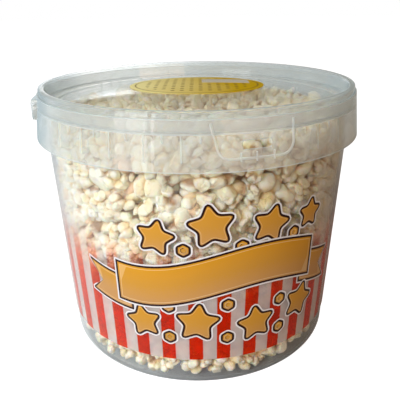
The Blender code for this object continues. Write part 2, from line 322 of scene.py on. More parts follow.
tub_plastic = clear_plastic("tub_plastic", 0.010, 0.10, 0.09)
foot_plastic = clear_plastic("foot_plastic", 0.50, 0.28, 0.12, (0.90, 0.96, 1.0, 1))
tub = piece_from("tub_shell", turned(tub_profile()), tub_plastic, foot_plastic)
for face in tub.data.polygons:
    on_ring = face.center.z < FOOT_LIFT and face.center.xy.length > CORNER_CENTRE - FOOT_WIDTH - 3 * MM
    face.material_index = int(on_ring)
fit(tub, "tub_plastic", "tub")


# --- Locking collar ------------------------------------------------------------------------------
# Moulded in one with the tub: a flared skirt on a web, stiffened by long and short ribs underneath.
# A U-shaped tear tab in front is held by three small bridges and has a finger window, its twin is
# outlined behind, and a lifting ear stands out on each side.

COLLAR_TOP = HEIGHT - 4.15 * MM
COLLAR_FOOT = HEIGHT - 34.0 * MM
COLLAR_TOP_R = 114.3 * MM
COLLAR_FOOT_R = 117.2 * MM
COLLAR_WALL = 1.0 * MM
WEB = 1.0 * MM
LIP = 0.7 * MM
GAP = 0.3 * MM
BITE = 0.4 * MM
RIB_COUNT = 34
RIB_START = math.radians(-4.2)
RIB_THICK = 1.0 * MM
RIB_CLEAR = math.radians(2.0)
SEAM = 0.9 * MM
SEAM_LIFT = 1.0 * MM
SEAM_PROUD = 0.12 * MM
LONG_RIB_FOOT = HEIGHT - 28.6 * MM
SHORT_RIB_FOOT = HEIGHT - 17.6 * MM
RIDGE_TOP = HEIGHT - 7.8 * MM
LID_R = 113.0 * MM
TAB = (math.radians(17.0), math.radians(11.5))
TAB_LEAN = math.radians(1.7)
BACK_TAB = (math.radians(178.2), math.radians(15.3))
TAB_TOP = HEIGHT - 6.5 * MM
TAB_FOOT = HEIGHT - 26.4 * MM
TAB_CORNER = 7.5 * MM
TAB_LINE = 1.4 * MM
TAB_PROUD = 0.7 * MM
BRIDGES = [math.radians(angle) for angle in (12.2, 16.8, 22.1)]
BRIDGE = 1.0 * MM
BRIDGE_TOP = HEIGHT - 23.0 * MM
BRIDGE_FOOT = HEIGHT - 28.0 * MM
WINDOW = (math.radians(17.2), math.radians(4.4))
WINDOW_TOP = HEIGHT - 16.4 * MM
WINDOW_FOOT = HEIGHT - 21.4 * MM
WINDOW_CORNER = 1.6 * MM
WINDOW_CUT = (-2.0 * MM, 2.0 * MM)
EARS = [(math.radians(-84.0), math.radians(8.0)), (math.radians(96.0), math.radians(8.0))]
EAR_TOP = HEIGHT - 9.0 * MM
EAR_FOOT = HEIGHT - 23.0 * MM
EAR_PROUD = 1.8 * MM
PAD_HALF = math.radians(36.0)


def collar_radius(z):
    """Outside of the collar, which flares towards its foot."""
    drop = (COLLAR_TOP - z) / (COLLAR_TOP - COLLAR_FOOT)
    return COLLAR_TOP_R + (COLLAR_FOOT_R - COLLAR_TOP_R) * drop


def around(radius, angle, z):
    return Vector((*round_axis(radius, angle), z))


def collar_profile():
    web_foot = WEB_TOP - WEB
    near = wall_radius(WEB_TOP) + GAP
    return softened([
        (near, web_foot, 0),
        (collar_radius(web_foot) - COLLAR_WALL, web_foot, 0.5 * MM),
        (COLLAR_FOOT_R - COLLAR_WALL, COLLAR_FOOT, 0.35 * MM),
        (COLLAR_FOOT_R, COLLAR_FOOT, 0.35 * MM),
        (collar_radius(COLLAR_FOOT + LIP), COLLAR_FOOT + LIP, 0),
        (collar_radius(web_foot), web_foot, 0),
        (collar_radius(WEB_TOP), WEB_TOP, 0),
        (collar_radius(COLLAR_TOP - LIP / 2), COLLAR_TOP - LIP / 2, 0),
        (COLLAR_TOP_R, COLLAR_TOP, 0.4 * MM),
        (COLLAR_TOP_R - COLLAR_WALL, COLLAR_TOP, 0.4 * MM),
        (collar_radius(WEB_TOP) - COLLAR_WALL, WEB_TOP, 0.5 * MM),
        (near, WEB_TOP, 0),
    ])


def apart(first, second):
    """Angle between two directions, from 0 to half a turn."""
    return abs((first - second + math.pi) % math.tau - math.pi)


def rib_places():
    kept_clear = [TAB, BACK_TAB, *EARS] + [(side * math.pi / 2, PAD_HALF) for side in (-1, 1)]
    for count in range(2 * RIB_COUNT):
        angle = RIB_START + count * math.pi / RIB_COUNT
        if all(apart(angle, middle) > half + RIB_CLEAR for middle, half in kept_clear):
            yield angle, SHORT_RIB_FOOT if count % 2 else LONG_RIB_FOOT


def add_rib(bm, angle, foot, top, near):
    """An upright rib from near(z) to the collar, which it bites into."""
    ends = []
    for z in (foot, top):
        far = collar_radius(z) - COLLAR_WALL + BITE
        corners = ((near(z), -1), (far, -1), (far, 1), (near(z), 1))
        ends.append([bm.verts.new(around(r, angle + side * RIB_THICK / 2 / r, z)) for r, side in corners])
    bm.faces.new(ends[0][::-1])
    bm.faces.new(ends[1])
    stitch(bm, ends)


def collar_ribs():
    """The gussets under the web, the low ridges in which they go on above it, clear of the lid's skirt,
    and the pale seam that each gusset leaves on the outside of the collar, its paleness a painted
    highlight."""
    ribs, ridges, seams = bmesh.new(), bmesh.new(), bmesh.new()
    for angle, foot in rib_places():
        add_rib(ribs, angle, foot, WEB_TOP - WEB / 2, lambda z: wall_radius(z) + GAP)
        add_rib(ridges, angle, WEB_TOP - WEB / 2, RIDGE_TOP, lambda z: LID_R + GAP)
        add_ribbon(seams, [(angle, WEB_TOP), (angle, foot + SEAM_LIFT)], SEAM, SEAM_PROUD)
    return ribs, ridges, seams


def tab_path(middle, half, lean=0.0):
    """The U-shaped outline of a tab: down one side, which leans out, round two corners and up the other."""
    turn = TAB_CORNER / collar_radius(TAB_FOOT)
    straight = TAB_FOOT + TAB_CORNER - TAB_TOP
    left = [(middle - half, TAB_TOP + straight * n / 4) for n in range(5)]
    for step in range(1, 9):
        t = math.radians(180 + 11.25 * step)
        across = middle - half + turn + turn * math.cos(t)
        left.append((across, TAB_FOOT + TAB_CORNER * (1 + math.sin(t))))
    for step in range(1, 7):
        left.append((middle + (turn - half) * (1 - step / 6), TAB_FOOT))
    right = [(2 * middle - angle, z) for angle, z in reversed(left[:-1])]
    leaning = [(angle - lean * (1 - n / 4), z) for n, (angle, z) in enumerate(left[:5])]
    return leaning + left[5:] + right


def add_ribbon(bm, path, width, proud):
    """A raised line on the collar with rounded shoulders, along (angle, height) points."""
    shoulder = 0.6 * proud
    section = [(-0.5, -BITE), (0.5, -BITE), (0.5, shoulder), (0.25, proud), (-0.25, proud), (-0.5, shoulder)]
    rows = []
    for n, (angle, z) in enumerate(path):
        before, after = path[max(n - 1, 0)], path[min(n + 1, len(path) - 1)]
        radius = collar_radius(z)
        along = Vector(((after[0] - before[0]) * radius, after[1] - before[1])).normalized()
        side = Vector((-along.y, along.x)) * width
        row = []
        for share, height in section:
            z_edge = z + share * side.y
            turn = angle + share * side.x / radius
            row.append(bm.verts.new(around(collar_radius(z_edge) + height, turn, z_edge)))
        rows.append(row)
    stitch(bm, rows)
    bm.faces.new(rows[0][::-1])
    bm.faces.new(rows[-1])


def tab_outlines():
    bm = bmesh.new()
    add_ribbon(bm, tab_path(*TAB, TAB_LEAN), TAB_LINE, TAB_PROUD)
    add_ribbon(bm, tab_path(*BACK_TAB), TAB_LINE, TAB_PROUD)
    return bm


def tab_bars():
    """The front tab's three bridges, and the bar down the middle of the back one."""
    bm = bmesh.new()
    for turn in BRIDGES:
        add_ribbon(bm, [(turn, BRIDGE_TOP), (turn, BRIDGE_FOOT)], BRIDGE, BRIDGE)
    add_ribbon(bm, [(BACK_TAB[0], TAB_TOP), (BACK_TAB[0], TAB_FOOT)], BRIDGE, TAB_PROUD)
    return bm


def rounded_outline(middle, half, top, foot, corner, columns=8):
    """A rounded rectangle on the collar as (angle, height) points, with steps along its long sides."""
    turn = corner / COLLAR_FOOT_R
    outline = []
    low, high = foot + corner, top - corner
    for side, z, start in ((1, low, -90), (1, high, 0), (-1, high, 90), (-1, low, 180)):
        for step in range(7):
            t = math.radians(start + 15 * step)
            outline.append((middle + side * (half - turn) + turn * math.cos(t), z + corner * math.sin(t)))
    filled = []
    for n, (angle, z) in enumerate(outline):
        filled.append((angle, z))
        after = outline[(n + 1) % len(outline)][0]
        if abs(after - angle) > half:
            filled += [(angle + (after - angle) * step / columns, z) for step in range(1, columns)]
    return filled


def add_slab(bm, outline, *layers):
    """A closed slab that follows the collar, through layers of (radius, size) over an outline."""
    middle = sum(angle for angle, _ in outline) / len(outline)
    centre = sum(z for _, z in outline) / len(outline)
    rings = []
    for radius, size in layers:
        ring = []
        for angle, z in outline:
            height = centre + (z - centre) * size
            ring.append(bm.verts.new(around(radius(height), middle + (angle - middle) * size, height)))
        rings.append(ring)
    bm.faces.new(rings[0])
    bm.faces.new(rings[-1][::-1])
    stitch(bm, rings)
    bmesh.ops.triangulate(bm, faces=bm.faces)


def collar_ears():
    bm = bmesh.new()
    outer = COLLAR_FOOT_R + EAR_PROUD
    for middle, half in EARS:
        outline = rounded_outline(middle, half, EAR_TOP, EAR_FOOT, 4 * MM)
        add_slab(
            bm, outline, (lambda z: collar_radius(z) - BITE, 1),
            (lambda z: outer - 1.0 * MM, 1), (lambda z: outer - 0.25 * MM, 0.97), (lambda z: outer, 0.9),
        )
    return bm


def collar_hollows():
    """The hollow behind each ear, the finger window, and the slot through the web behind the tab."""
    bm = bmesh.new()
    top = WEB_TOP - WEB - BITE
    near = collar_radius(top) - COLLAR_WALL - BITE
    far = COLLAR_FOOT_R + EAR_PROUD - 1.2 * MM
    inset = 1.2 * MM / COLLAR_FOOT_R
    for middle, half in EARS:
        outline = rounded_outline(middle, half - inset, top, EAR_FOOT + 1.2 * MM, 2.8 * MM)
        add_slab(bm, outline, (lambda z: near, 1), (lambda z: far, 1))
    window = rounded_outline(*WINDOW, WINDOW_TOP, WINDOW_FOOT, WINDOW_CORNER)
    add_slab(bm, window, *((lambda z, past=past: collar_radius(z) + past, 1) for past in WINDOW_CUT))
    span = TAB[1] - math.radians(1.5)
    edge = [TAB[0] - span + 2 * span * n / 12 for n in range(13)]
    slot = [(angle, WEB_TOP + BITE) for angle in edge] + [(angle, WEB_TOP - 2 * WEB) for angle in edge[::-1]]
    low, high = wall_radius(WEB_TOP) + 0.8 * MM, collar_radius(WEB_TOP) - COLLAR_WALL - 0.5 * MM
    add_slab(bm, slot, (lambda z: low, 1), (lambda z: high, 1))
    return bm


def combined(target, bm, operation, finish):
    """Joins a helper solid to target, or cuts it out, and clears the helper away."""
    bmesh.ops.recalc_face_normals(bm, faces=bm.faces)
    helper = piece_from("helper", bm, finish)
    cut = target.modifiers.new("join", "BOOLEAN")
    cut.operation = operation
    cut.solver = "EXACT"
    cut.material_mode = "TRANSFER"
    cut.object = helper
    evaluated = target.evaluated_get(bpy.context.evaluated_depsgraph_get())
    solid = bpy.data.meshes.new_from_object(evaluated)
    target.modifiers.clear()
    target.data = solid
    bpy.data.objects.remove(helper)


collar_plastic = clear_plastic("collar_plastic", 0.27, 0.60, 0.07, (0.82, 0.82, 0.80, 1))
rib_plastic = clear_plastic("rib_plastic", 0.16, 0.60, 0.15)
# Painted highlight: a whiter, milkier haze on the collar's lips, web edge, seams, tab outlines and bars, for
# the bright lines these edges catch.
edge_highlight_plastic = clear_plastic("edge_highlight_plastic", 0.46, 0.30, 0.15, (0.88, 0.94, 0.98, 1))
collar = piece_from("collar_shell", turned(collar_profile()), collar_plastic, edge_highlight_plastic)
for face in collar.data.polygons:
    on_web = abs(face.center.z - WEB_TOP + WEB / 2) < WEB and face.center.xy.length > COLLAR_TOP_R
    on_lip = face.center.z < COLLAR_FOOT + LIP or face.center.z > COLLAR_TOP - LIP / 2
    face.material_index = int(on_web or on_lip)
ribs, ridges, seams = collar_ribs()
for solid, finish in (
    (ribs, rib_plastic),
    (ridges, rib_plastic),
    (seams, edge_highlight_plastic),
    (tab_outlines(), edge_highlight_plastic),
    (tab_bars(), edge_highlight_plastic),
    (collar_ears(), collar_plastic),
):
    combined(collar, solid, "UNION", finish)
combined(collar, collar_hollows(), "DIFFERENCE", collar_plastic)
collar.data.shade_smooth()
collar.data.set_sharp_from_angle(angle=SHARP)
fit(collar, "collar_plastic", "collar")


# --- Popcorn -------------------------------------------------------------------------------------
# Loose popped maize poured in and pressed against the wall: about nine hundred flakes, each a knot
# of smooth foam lobes with scraps of brown hull and golden creases, partly the maize's own yellow and
# partly painted shade, over rougher flakes behind them, coloured darker as painted shade for the gaps,
# and a heart of packed flakes that is hardly seen, painted golden brown as the shade deep inside.

HEAP_LEVEL = 172.5 * MM
HEAP_FOOT = 10.0 * MM
HEAP_TILT = 0.022
HEAP_RISE = 0.025
HEADROOM = 179.4 * MM
TOP_R = 103 * MM
UNDER_TOP_R = 92 * MM
BED_R = 84 * MM
WALL_HEIGHTS = (9 * MM, HEAP_LEVEL - 1 * MM)
BEHIND_HEIGHTS = (14 * MM, HEAP_LEVEL - 10 * MM)
BEHIND = (13 * MM, 18 * MM)
BELOW = (14 * MM, 18 * MM)
UNDER_LEVEL = 5 * MM
SPARSE_BELOW = 26 * MM
SPARSE_SHARE = 0.90
CELLS = (216, 48)
DEEPEST = 20 * MM
SMALL_GAP = 5.5 * MM
WIDE_GAP = 11 * MM
FILLERS = 130
PRESS = 0.3 * MM
FLAKE_TRIANGLES = 920
INNER_TRIANGLES = 300
LOBE_SEAM = 0.22 * MM
FLAT_SEAM = 0.2 * MM
DIMPLES = 64
DIMPLE_REACH = 0.27
PUFF = 0.75 * MM
LUMP = 0.5 * MM
CREASE = 0.6 * MM
DEPTH = 3.5 * MM
dice = np.random.default_rng(27)

# Each kind: how many shapes, lobes on each, a lobe's half-widths (degrees) and height (mm), how far
# its edge falls, flats pressed on the flake, and how stretched the whole is
FLAKE_KINDS = {
    "knotted": (6, (9, 13), (28, 46), (9.2, 11.4), 0.40, 14, 1.12),
    "winged": (6, (5, 8), (36, 62), (8.8, 12.6), 0.46, 14, 1.25),
    "rounded": (5, (11, 15), (28, 42), (9.4, 11.0), 0.30, 12, 1.05),
    "curled": (5, (7, 10), (30, 56), (8.2, 11.8), 0.46, 14, 1.32),
    "scraps": (4, (4, 7), (34, 60), (5.0, 7.8), 0.46, 8, 1.28),
}
KIND_SHARES = [0.25, 0.25, 0.14, 0.25, 0.11]


def unit(count):
    """Random directions, kept apart from one another."""
    found = []
    for _ in range(count):
        tries = dice.normal(size=(24, 3))
        tries /= np.linalg.norm(tries, axis=1)[:, None]
        if found:
            gap = np.min(np.linalg.norm(tries[:, None] - np.array(found)[None], axis=2), axis=1)
            found.append(tries[np.argmax(gap + 0.25 * dice.random(24))])
        else:
            found.append(tries[0])
    return np.array(found)


def blown(count, widths, heights, fall, flats, stretch):
    """One flake's lobes, flats and dimples, and how far it is stretched along each axis."""
    lobes = []
    for axis in unit(int(dice.integers(count[0], count[1] + 1))):
        side = np.cross(axis, dice.normal(size=3))
        wide = math.radians(dice.uniform(*widths))
        narrow = wide * dice.uniform(0.58, 0.95)
        lobes.append((axis, side / np.linalg.norm(side), wide, narrow, dice.uniform(*heights) * MM, fall))
    top = max(lobe[4] for lobe in lobes)
    pressed = [(axis, top * dice.uniform(0.66, 0.92)) for axis in unit(flats)]
    dimples = unit(DIMPLES)
    sides = (dice.uniform(0.85, 1.0), 1.0, stretch * dice.uniform(0.9, 1.1))
    return lobes, pressed, dimples, sides


def lobe_heights(directions, lobes):
    """How far each lobe reaches along each direction: a cushion that falls away round its middle."""
    reach = []
    for axis, side, wide, narrow, height, fall in lobes:
        turn = np.arccos(np.clip(directions @ axis, -1, 1))
        flat = directions - np.outer(directions @ axis, axis)
        flat /= np.linalg.norm(flat, axis=1)[:, None] + 1e-9
        share = turn * np.hypot((flat @ side) / wide, (flat @ np.cross(axis, side)) / narrow)
        reach.append(height * (1 - fall * np.minimum(share, 1.5) ** 2.8))
    return np.array(reach)


def popped(lobes, pressed, dimples, stretch):
    """Fine and rough points, triangles, crease, depth and hull share of one flake."""
    bm = bmesh.new()
    bmesh.ops.create_icosphere(bm, subdivisions=5, radius=1)
    directions = np.array([v.co.normalized() for v in bm.verts])
    reach = lobe_heights(directions, lobes)
    high = reach.max(axis=0)
    reach = high + LOBE_SEAM * np.log(np.exp((reach - high) / LOBE_SEAM).sum(axis=0))
    for axis, distance in pressed:
        limit = distance / np.maximum(directions @ axis, 0.05)
        reach = -FLAT_SEAM * np.log(np.exp(-reach / FLAT_SEAM) + np.exp(-limit / FLAT_SEAM))
    nearest = np.arccos(np.clip((directions @ dimples.T).max(axis=1), -1, 1))
    puff = np.clip(1 - (nearest / DIMPLE_REACH) ** 2, -0.6, 1)
    offset = Vector(dice.uniform(-9, 9, 3))
    for v, direction, r, swell in zip(bm.verts, directions, reach, puff):
        spot = Vector(direction)
        crinkled = min(max(0.5 + 2.2 * noise.noise(spot * 1.7 - offset), 0.15), 1)
        lump = noise.fractal(spot * 3 + offset, 1.0, 2.0, 3)
        v.co = spot * (r + PUFF * crinkled * swell + LUMP * lump)
        v.co *= Vector(stretch)
    flake = piece_from("flake", bm)
    thin_out = flake.modifiers.new("thin", "DECIMATE")
    made = []
    for triangles in (FLAKE_TRIANGLES, INNER_TRIANGLES):
        thin_out.ratio = triangles / len(flake.data.polygons)
        mesh = flake.evaluated_get(bpy.context.evaluated_depsgraph_get()).data
        mesh.calc_loop_triangles()
        points = np.empty(len(mesh.vertices) * 3, np.float32)
        mesh.vertices.foreach_get("co", points)
        faces = np.empty(len(mesh.loop_triangles) * 3, np.int32)
        mesh.loop_triangles.foreach_get("vertices", faces)
        points = points.reshape(-1, 3).astype(float)
        directions = points / np.array(stretch)
        reach = np.linalg.norm(directions, axis=1)
        directions /= reach[:, None]
        # Crease and depth mark where shade falls between lobes; the finish paints shade from them.
        ranked = np.sort(lobe_heights(directions, lobes), axis=0)
        crease = np.exp(-(ranked[-1] - ranked[-2]) / CREASE)
        depth = np.clip((np.percentile(reach, 80) - reach) / DEPTH, 0, 1)
        hull = np.clip((directions @ lobes[0][0] - 0.62) * 5, 0, 1)
        hull *= np.clip((depth - 0.14) * 3, 0, 1)
        made.append((points, faces.reshape(-1, 3), crease, depth, hull))
    bpy.data.objects.remove(flake)
    return made


shapes = {}
for kind, (count, *form) in FLAKE_KINDS.items():
    shapes[kind] = [popped(*blown(*form)) for _ in range(count)]


def random_turn():
    q = dice.normal(size=4)
    w, x, y, z = q / np.linalg.norm(q)
    return np.array([
        [1 - 2 * (y * y + z * z), 2 * (x * y - w * z), 2 * (x * z + w * y)],
        [2 * (x * y + w * z), 1 - 2 * (x * x + z * z), 2 * (y * z - w * x)],
        [2 * (x * z - w * y), 2 * (y * z + w * x), 1 - 2 * (x * x + y * y)],
    ])


def inside_radius(z):
    """Inside of the tub, round its foot corner too, less a thin gap."""
    inner = CORNER_R - WALL
    lift = FLOOR_TOP + inner
    straight = wall_radius(np.maximum(z, lift)) - WALL
    drop = np.clip((lift - z) / inner, 0, 1)
    return straight - inner * (1 - np.sqrt(1 - drop**2)) - GAP


def level_at(x, y):
    """Top of the heap, which rises to the right and to the front."""
    return HEAP_LEVEL + HEAP_TILT * x - HEAP_RISE * y


def choose_kind():
    return dice.choice(list(FLAKE_KINDS), p=KIND_SHARES)


class Heap:
    """Flakes that keep a share of their size apart, placed one at a time, and how far back from the
    wall the foremost of them lies, on a grid of cells round the tub and up it."""

    def __init__(self):
        self.centres = np.zeros((0, 3))
        self.sizes = np.zeros(0)
        self.placed = {kind: [] for kind in [*FLAKE_KINDS, "inner"]}
        self.depth = np.full(CELLS, DEEPEST)

    def free(self, centre, size, closeness):
        if not len(self.sizes):
            return True
        gaps = np.linalg.norm(self.centres - centre, axis=1)
        return bool((gaps > closeness * (self.sizes + size)).all())

    def add(self, kind, points, shape, centre, size):
        self.centres = np.vstack([self.centres, centre])
        self.sizes = np.append(self.sizes, size)
        self.placed[kind].append((points, shape))
        back = inside_radius(points[:, 2]) - np.linalg.norm(points[:, :2], axis=1)
        turn = np.arctan2(points[:, 0], -points[:, 1]) % math.tau
        columns, rows = self.depth.shape
        column = (turn / math.tau * columns).astype(int) % columns
        row = ((points[:, 2] - HEAP_FOOT) / (HEAP_LEVEL - HEAP_FOOT) * rows).astype(int)
        seen = (row >= 0) & (row < rows)
        np.minimum.at(self.depth, (column[seen], row[seen]), back[seen])

    def deepest(self):
        """Angle, height and depth of the deepest gap behind the wall."""
        spread = sum(np.roll(self.depth, turn, axis=0) for turn in (-1, 0, 1)) / 3
        spread[:, 1:-1] = (spread[:, :-2] + spread[:, 1:-1] + spread[:, 2:]) / 3
        column, row = np.unravel_index(np.argmax(spread), spread.shape)
        z = HEAP_FOOT + (row + 0.5) / spread.shape[1] * (HEAP_LEVEL - HEAP_FOOT)
        return (column + 0.5) / spread.shape[0] * math.tau, z, spread[column, row]


def turned_flake(kind, scale, rough=False):
    """One flake of a kind, turned and stretched at random, round the origin."""
    shape = shapes[kind][dice.integers(len(shapes[kind]))][int(rough)]
    stretch = np.diag(dice.uniform(0.88, 1.14, 3)) * dice.uniform(*scale)
    points = shape[0] @ (random_turn() @ stretch).T
    return points, shape, np.linalg.norm(points, axis=1).mean()


def flake_at(heap, pick, closeness, scale, pressed):
    """Tries one flake: pick gives its rough centre, then it is pressed to the wall, floor or level."""
    kind = choose_kind()
    inner = pick in (behind_wall, under_top)
    points, shape, size = turned_flake(kind, scale, inner)
    centre = pick(size)
    if centre is None or not heap.free(centre, size, closeness):
        return False
    heap.add("inner" if inner else kind, pressed(points + centre), shape, centre, size)
    return True


def against_wall(points):
    """Slides a flake out until it touches the wall, a little flattened where it does."""
    middle = points.mean(axis=0)
    out = middle[:2] / np.linalg.norm(middle[:2])
    reach = np.linalg.norm(points[:, :2], axis=1) - inside_radius(points[:, 2])
    points = points - np.append(out * (reach.max() - PRESS), 0)
    return held_in(points)


def held_in(points):
    """Keeps every point inside the tub and below the lid."""
    points = points.copy()
    points[:, 2] = np.clip(points[:, 2], FLOOR_TOP + GAP, HEADROOM)
    reach = np.linalg.norm(points[:, :2], axis=1)
    most = inside_radius(points[:, 2])
    points[:, :2] *= np.minimum(1, most / np.maximum(reach, 1e-9))[:, None]
    return points


def within(radius):
    """A random spot in a circle round the axis."""
    angle = dice.uniform(0, math.tau)
    return round_axis(radius * math.sqrt(dice.random()), angle)


def on_wall(size):
    z = dice.uniform(*WALL_HEIGHTS)
    x, y = round_axis(inside_radius(z) - size * 0.95, dice.uniform(0, math.tau))
    if z < SPARSE_BELOW and dice.random() < SPARSE_SHARE or z > level_at(x, y) - UNDER_LEVEL:
        return None
    return np.array([x, y, max(z, FLOOR_TOP + size * 0.8)])


def on_floor(size):
    return np.array([*within(BED_R), FLOOR_TOP + size * 0.9])


def on_top(size):
    x, y = within(TOP_R)
    return np.array([x, y, level_at(x, y) - size * 0.9 + dice.uniform(-3, 1.5) * MM])


def behind_wall(size):
    z = dice.uniform(*BEHIND_HEIGHTS)
    angle = dice.uniform(0, math.tau)
    return np.array([*round_axis(inside_radius(z) - dice.uniform(*BEHIND), angle), z])


def under_top(size):
    x, y = within(UNDER_TOP_R)
    return np.array([x, y, level_at(x, y) - dice.uniform(*BELOW)])


def pour(heap, pick, closeness, scale, pressed, tries, most):
    """Tries flake after flake until enough of them have found room."""
    done = 0
    for _ in range(tries):
        done += flake_at(heap, pick, closeness, scale, pressed)
        if done >= most:
            break


# The bigger flakes first, then smaller ones between them, then fillers for the gaps that are left, and
# last the rough flakes that only show between the others
heap = Heap()
pour(heap, on_wall, 0.58, (0.92, 1.14), against_wall, 3000, 240)
pour(heap, on_top, 0.56, (0.95, 1.15), held_in, 1800, 90)
pour(heap, on_wall, 0.46, (0.80, 1.00), against_wall, 8000, 290)
pour(heap, on_top, 0.47, (0.80, 1.05), held_in, 2500, 110)
pour(heap, on_floor, 0.60, (0.85, 1.1), held_in, 900, 50)
for _ in range(FILLERS):
    angle, z, deep = heap.deepest()
    if deep < SMALL_GAP or z > HEAP_LEVEL:
        break
    kind = "scraps" if deep < WIDE_GAP else choose_kind()
    points, shape, size = turned_flake(kind, (0.75, 1.0))
    centre = np.array([*round_axis(inside_radius(z) - size, angle), z])
    heap.add(kind, against_wall(points + centre), shape, centre, size)
pour(heap, behind_wall, 0.48, (0.95, 1.2), held_in, 4000, 260)
pour(heap, under_top, 0.48, (0.95, 1.2), held_in, 4000, 90)


def popcorn_finish(name, white, cream):
    """Dry, matt foam, cream on the lobes and brown on scraps of hull. Creases, seams between puffs and
    deep parts between lobes turn golden, partly the maize's own yellow and partly painted shade, and the
    deepest creases darker tan, which is painted shade.
    """
    made, start, place = new_finish(name)
    marks = start.node("Attribute", {"attribute_name": "flake"}, out="Color")
    parts = ("Red", "Green", "Blue")
    crease, depth, hull = (start.node("SeparateColor", {}, {0: marks}, out=part) for part in parts)
    mood = start.node("Attribute", {"attribute_name": "mood"}, out="Fac")
    mottle = place.grain(260.0, 3.0)
    speck = place.grain(900.0, 2.0)
    base = blended(start, mood, white, cream)
    drift = place.grain(130.0, 2.0, out="Color")
    bent = start.node("Mix", {"data_type": "VECTOR"}, {0: 0.006, 4: place, 5: drift}, out=1)
    seam = start.node("TexVoronoi", {"feature": "DISTANCE_TO_EDGE"}, {"Vector": bent, "Scale": 150.0})
    fold = seam.eased(0.055, 0.0) * mottle.eased(0.42, 0.60)
    cells = {"Vector": bent, "Scale": 185.0, "Smoothness": 0.15}
    puffs = start.node("TexVoronoi", {"feature": "SMOOTH_F1"}, cells)
    crinkled = place.grain(75.0, 1.0).eased(0.42, 0.58)
    dip = (puffs - 0.42) * crinkled
    # Painted shade: creases, puff seams, dips and deep parts turn golden and the deepest creases tan, where
    # shade falls between lobes; a little of the gold is the maize's own yellow.
    gold = (crease * 0.28 + depth * 0.70 + fold * 0.25 + dip * 0.8 + (mottle - 0.5) * 0.5).held()
    toned = blended(start, gold * 0.85, base, (0.86, 0.68, 0.33, 1))
    crease_shade = blended(start, (depth * crease * 1.6).held() * 0.7, toned, (0.62, 0.38, 0.15, 1))
    hulled = blended(start, (hull * (0.6 + 0.8 * speck)).held() * 0.85, crease_shade, (0.30, 0.13, 0.035, 1))
    height = place.grain(520.0, 4.0, 0.6) * 0.25 - fold * 0.6 - puffs * crinkled * 1.5
    surface = start.node("BsdfPrincipled", {}, {
        "Base Color": hulled,
        "Roughness": (0.62 - 0.2 * hull).held(),
        "Specular IOR Level": 0.25,
        "Subsurface Weight": 0.5,
        "Subsurface Radius": (0.0045, 0.0030, 0.0016),
        "Subsurface Scale": 1.0,
        "Normal": height.bump(0.62, 0.0013),
    })
    return surfaced(made, surface)


def joined(name, copies, finish):
    """All the flakes of a kind as one mesh, with their crease, depth and hull marks, the first two for
    painted shade, and a tone for each flake.
    """
    points = np.concatenate([spots for spots, _ in copies])
    starts = np.cumsum([0] + [len(spots) for spots, _ in copies[:-1]])
    faces = np.concatenate([shape[1] + start for (_, shape), start in zip(copies, starts)])
    marks = [np.stack(shape[2:5] + (np.ones(len(shape[2])),), axis=1) for _, shape in copies]
    moods = [np.full(len(spots), dice.beta(1.3, 2.6)) for spots, _ in copies]
    mesh = bpy.data.meshes.new(name)
    mesh.vertices.add(len(points))
    mesh.vertices.foreach_set("co", points.astype(np.float32).ravel())
    mesh.loops.add(len(faces) * 3)
    mesh.loops.foreach_set("vertex_index", faces.astype(np.int32).ravel())
    mesh.polygons.add(len(faces))
    mesh.polygons.foreach_set("loop_start", np.arange(0, len(faces) * 3, 3, dtype=np.int32))
    mesh.update(calc_edges=True)
    layers = (("flake", "FLOAT_COLOR", "color", marks), ("mood", "FLOAT", "value", moods))
    for label, sort, key, values in layers:
        layer = mesh.attributes.new(label, sort, "POINT")
        layer.data.foreach_set(key, np.concatenate(values).astype(np.float32).ravel())
    mesh.materials.append(finish)
    mesh.shade_smooth()
    return set_down(name, mesh)


flake_finish = popcorn_finish("popped_maize", (0.94, 0.93, 0.835, 1), (0.92, 0.85, 0.65, 1))
# The rough flakes behind get darker, more orange colours: painted shade for the gaps between the flakes that
# show.
inner_shade_finish = popcorn_finish("inner_maize_shade", (0.92, 0.70, 0.50, 1), (0.86, 0.55, 0.34, 1))
for kind, copies in heap.placed.items():
    flakes = joined("popcorn_" + kind, copies, inner_shade_finish if kind == "inner" else flake_finish)
    fit(flakes, "popcorn", "popcorn")


def heart_shade_finish():
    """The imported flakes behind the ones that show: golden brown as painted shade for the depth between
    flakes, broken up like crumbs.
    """
    made, start, place = new_finish("packed_maize_shade")
    lumps = start.node("TexVoronoi", {"feature": "SMOOTH_F1"}, {"Vector": place, "Scale": 95.0})
    # Painted shade: the golden brown stands for the shade deep between the flakes.
    tone = lumps.ramp([(0.0, (0.80, 0.54, 0.27)), (1.0, (0.48, 0.24, 0.09))])
    bump = lumps.bump(0.8, 0.004, invert=True)
    surface = start.node("BsdfPrincipled", {}, {"Base Color": tone, "Roughness": 0.8, "Normal": bump})
    return surfaced(made, surface)


HEART_FOOT = 12 * MM
HEART_TOP = HEAP_LEVEL - 17 * MM
HEART_IN = 16 * MM


def heart_profile():
    heights = (HEART_FOOT, 60 * MM, 110 * MM, HEART_TOP)
    side = [(inside_radius(z) - HEART_IN, z, 6 * MM) for z in heights]
    return softened([(0, HEART_FOOT, 0), *side, (0, HEART_TOP, 0)])


bm = turned(heart_profile(), segments=96)
for v in bm.verts:
    v.co.z += HEAP_TILT * v.co.x * v.co.z / HEAP_LEVEL
heart = piece_from("popcorn_heart", bm, heart_shade_finish(), sharp=math.pi)
fit(heart, "popcorn", "popcorn")


# --- Printed film --------------------------------------------------------------------------------
# A thin clear film wrapped round the tub and butted behind, printed from inside: red and white
# stripes that fade upwards through a fine dot screen, over see-through plastic.

FILM_FOOT = 23.8 * MM
FILM_TOP = COLLAR_FOOT - 2.0 * MM
FILM = 0.25 * MM
# Stripes in degrees round the tub, the dots of the screen in waves to the millimetre
STRIPE_PITCH = 10.14
STRIPE_START = -54.5
MM_PER_DEGREE = 1.86
SCREEN = 2.9
FADE_TOP = 122.0 * MM
FADE_FOOT = 52.0 * MM


